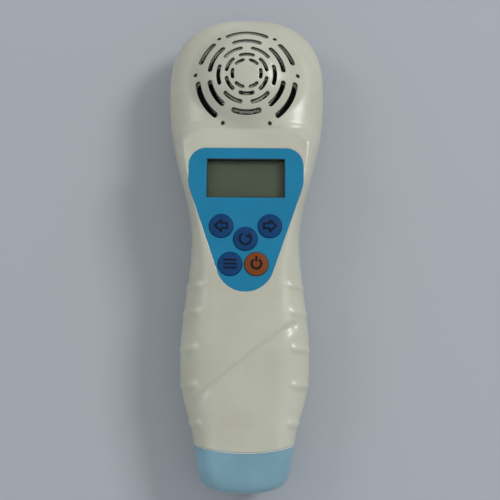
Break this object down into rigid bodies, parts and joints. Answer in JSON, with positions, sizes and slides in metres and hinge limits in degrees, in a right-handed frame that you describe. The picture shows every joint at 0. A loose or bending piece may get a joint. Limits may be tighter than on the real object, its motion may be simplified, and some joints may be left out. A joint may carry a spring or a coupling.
{
  "type": "microchip scanner",
  "caption": "Hand-held battery microchip scanner: domed loudspeaker head with a slotted grille, display, round keys on a fascia label, waisted grip and a separate antenna nose.",
  "frame": {"origin": "middle of the outline on the surface that the flat back lies on", "axes": "+X to the right as seen with the head up, +Y towards the loudspeaker head, +Z out of the front face"},
  "size_m": [0.0658, 0.2, 0.0399],
  "materials": {
    "ivory_abs": "glossy moulded ABS",
    "blue_abs": "glossy moulded ABS",
    "label_film": "printed polycarbonate film",
    "blue_key": "printed silicone-feel plastic",
    "orange_key": "printed silicone-feel plastic",
    "clear_acrylic": "clear acrylic",
    "lcd_glass": "reflective display glass",
    "black_plastic": "matt moulded plastic",
    "black_rubber": "matt rubber",
    "green_board": "solder mask",
    "steel": "plated steel",
    "black_paper": "pressed paper",
    "black_cloth": "woven scrim",
    "ferrite": "sintered ferrite",
    "copper": "enamelled copper wire",
    "cell_wrap": "shrink sleeve",
    "wire_sleeve": "PVC sleeve"
  },
  "bodies": {
    "housing": {"front_shell": "ivory_abs", "rear_shell": "ivory_abs", "nose_cap": "blue_abs", "nose_seal": "black_rubber", "fascia_label": "label_film", "display_window": "clear_acrylic", "display_glass": "lcd_glass", "display_frame": "black_plastic", "contact_strips": "black_rubber", "main_board": "green_board", "board_chips": "black_plastic", "switch_bodies": "steel", "speaker_basket": "steel", "speaker_magnet": "steel", "speaker_cone": "black_paper", "speaker_gasket": "black_rubber", "dust_scrim": "black_cloth", "speaker_clips": "steel", "clip_screws": "steel", "antenna_core": "ferrite", "antenna_bobbin": "black_plastic", "antenna_winding": "copper", "left_cell": "cell_wrap", "right_cell": "cell_wrap", "cell_springs": "steel", "cell_plates": "steel", "shell_screws": "steel", "board_screws": "steel", "speaker_wires": "wire_sleeve", "battery_wires": "wire_sleeve", "antenna_wires": "wire_sleeve"},
    "left_button": {"left_key": "blue_key", "left_plunger": "black_plastic"},
    "right_button": {"right_key": "blue_key", "right_plunger": "black_plastic"},
    "centre_button": {"centre_key": "blue_key", "centre_plunger": "black_plastic"},
    "lower_button": {"lower_key": "blue_key", "lower_plunger": "black_plastic"},
    "power_button": {"power_key": "orange_key", "power_plunger": "black_plastic"},
    "door": {"battery_door": "ivory_abs"}
  },
  "joints": [
    {"name": "left_press", "type": "slide", "parent": "housing", "child": "left_button", "axis": [0, 0, -1], "range_m": [0, 0.0008], "stiffness_N_per_m": 800},
    {"name": "right_press", "type": "slide", "parent": "housing", "child": "right_button", "axis": [0, 0, -1], "range_m": [0, 0.0008], "stiffness_N_per_m": 800},
    {"name": "centre_press", "type": "slide", "parent": "housing", "child": "centre_button", "axis": [0, 0, -1], "range_m": [0, 0.0008], "stiffness_N_per_m": 800},
    {"name": "lower_press", "type": "slide", "parent": "housing", "child": "lower_button", "axis": [0, 0, -1], "range_m": [0, 0.0008], "stiffness_N_per_m": 800},
    {"name": "power_press", "type": "slide", "parent": "housing", "child": "power_button", "axis": [0, 0, -1], "range_m": [0, 0.0008], "stiffness_N_per_m": 800},
    {"name": "door_hinge", "type": "hinge", "parent": "housing", "child": "door", "pos_m": [0, -0.0694, 0.001], "axis": [-1, 0, 0], "range_deg": [0, 65]}
  ]
}
